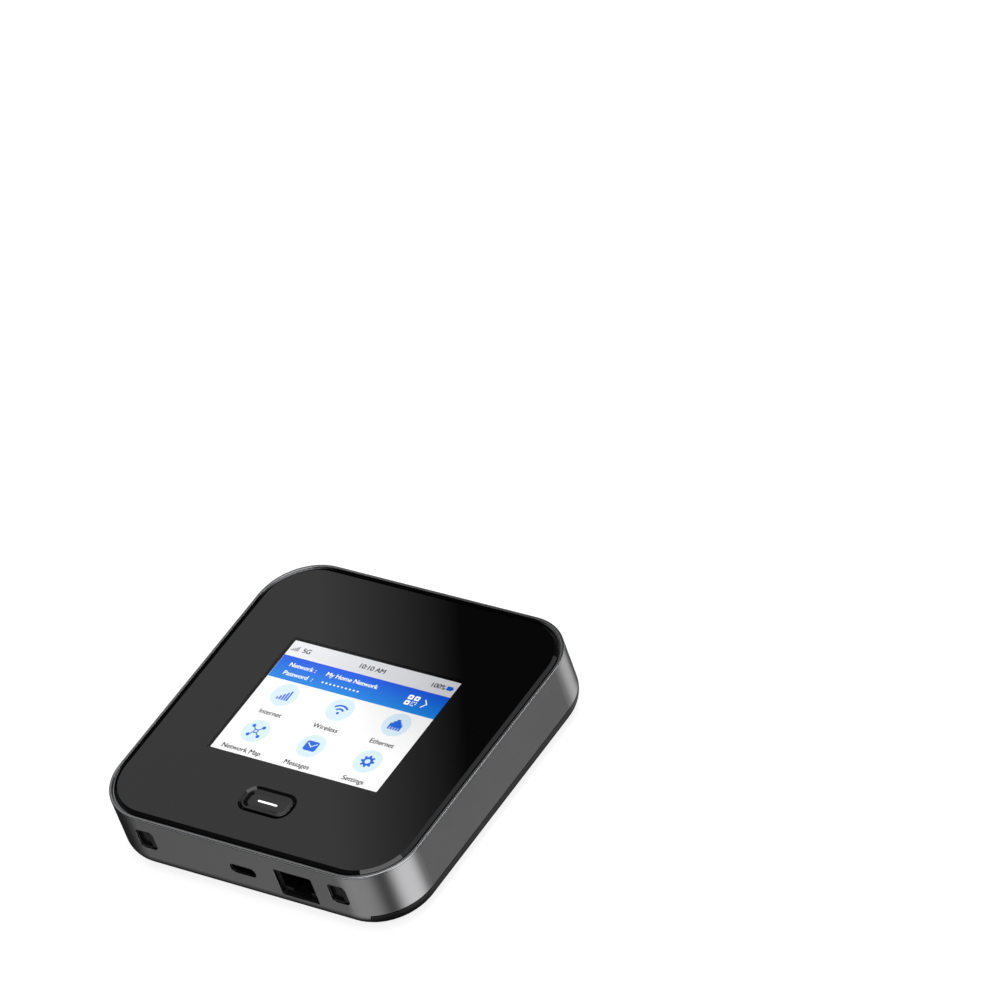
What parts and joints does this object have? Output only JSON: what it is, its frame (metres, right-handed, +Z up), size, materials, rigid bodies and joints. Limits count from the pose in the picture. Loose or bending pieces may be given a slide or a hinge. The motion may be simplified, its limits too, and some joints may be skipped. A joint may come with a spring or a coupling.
{
  "type": "mobile hotspot",
  "caption": "Square pocket 5G hotspot with a colour screen, home button, USB-C and Ethernet ports, antenna sockets behind hinged doors, and a lift-off back over its battery.",
  "frame": {"origin": "centre of the underside of the back cover, on the surface that the device lies on", "axes": "+Z up out of the screen, +X to the right as seen facing the screen with the home button nearest, -Y towards the edge with the ports"},
  "size_m": [0.105, 0.105, 0.0215],
  "materials": {
    "band_metal": "dark gunmetal, satin, fine brushed grain",
    "bezel_metal": "polished bright edge",
    "lens_glass": "clear cover glass over black print",
    "black_print": "opaque black screen print",
    "adhesive": "black foam tape",
    "display": null,
    "diffuser": "white light guide and film",
    "steel": "thin drawn steel",
    "foam": "soft charcoal foam",
    "flex": "amber polyimide",
    "frame_plastic": "black moulded, fine spark texture",
    "cover_plastic": "black moulded, fine spark texture",
    "button_black": "gloss black",
    "light_bar": "translucent white, lit",
    "seal_rubber": "black silicone",
    "board_green": "green solder mask",
    "chip": "black moulding compound",
    "switch_metal": "bright dome",
    "gold": "gold plated",
    "port_black": "black nylon",
    "ptfe": "white insulator",
    "door_rubber": "black, fine texture",
    "pin_steel": "polished steel",
    "copper": "copper foil",
    "graphite": "grey graphite sheet",
    "battery_case": "dark wrapped pack",
    "label_paper": "plain grey label, no print",
    "sim_plastic": "white card",
    "screw_steel": "black zinc"
  },
  "bodies": {
    "cover": {"back_cover": "cover_plastic"},
    "device": {"side_band": "band_metal", "front_bezel": "bezel_metal", "front_lens": "lens_glass", "lens_print": "black_print", "lens_adhesive": "adhesive", "lcd_panel": "display", "lcd_backlight": "diffuser", "lcd_bracket": "steel", "display_foam": "foam", "lcd_ribbon": "flex", "lcd_connector": "chip", "front_frame": "frame_plastic", "back_housing": "frame_plastic", "button_seal": "seal_rubber", "button_board": "flex", "button_switch": "switch_metal", "button_leds": "light_bar", "usb_c_shell": "steel", "usb_c_tongue": "port_black", "usb_c_contacts": "gold", "ethernet_jack": "port_black", "ethernet_contacts": "gold", "ethernet_shield": "steel", "main_board": "board_green", "modem_shield": "steel", "radio_shield": "steel", "wireless_shield": "steel", "power_shield": "steel", "modem_chips": "chip", "power_chips": "chip", "antenna_filters": "chip", "thermal_pad": "foam", "heat_spreader": "graphite", "battery_terminal": "port_black", "battery_springs": "gold", "antenna_carrier_left": "frame_plastic", "antenna_carrier_right": "frame_plastic", "antenna_carrier_back": "frame_plastic", "antenna_foil_left": "copper", "antenna_foil_right": "copper", "antenna_foil_back": "copper", "sim_socket": "steel", "reset_switch": "port_black", "housing_screws": "screw_steel", "antenna_door_pin_left": "pin_steel", "antenna_socket_left": "gold", "antenna_insulator_left": "ptfe", "antenna_door_pin_right": "pin_steel", "antenna_socket_right": "gold", "antenna_insulator_right": "ptfe"},
    "battery": {"battery": "battery_case", "battery_contacts": "gold", "battery_label": "label_paper"},
    "sim": {"sim_card": "sim_plastic"},
    "button": {"home_button": "button_black", "button_light_bar": "light_bar"},
    "door_left": {"antenna_door_left": "door_rubber"},
    "door_right": {"antenna_door_right": "door_rubber"}
  },
  "joints": [
    {"name": "cover_release", "type": "slide", "parent": "cover", "child": "device", "axis": [0, 0, 1], "range_m": [0, 0.045]},
    {"name": "battery_release", "type": "slide", "parent": "device", "child": "battery", "axis": [0, 0, -1], "range_m": [0, 0.0225]},
    {"name": "sim_slide", "type": "slide", "parent": "device", "child": "sim", "axis": [1, 0, 0], "range_m": [0, 0.012]},
    {"name": "home_button_press", "type": "slide", "parent": "device", "child": "button", "axis": [0, 0, -1], "range_m": [0, 0.0003], "stiffness_N_per_m": 1500, "springref_m": -0.0002},
    {"name": "antenna_door_left_hinge", "type": "hinge", "parent": "device", "child": "door_left", "pos_m": [-0.0316, -0.0516, 0.0131], "axis": [0, 0, 1], "range_deg": [0, 90]},
    {"name": "antenna_door_right_hinge", "type": "hinge", "parent": "device", "child": "door_right", "pos_m": [0.0359, -0.0516, 0.0131], "axis": [0, 0, 1], "range_deg": [0, 90]}
  ],
  "couplings": [
    {"joint": "battery_release", "follows": "cover_release", "ratio": 0.5}
  ]
}
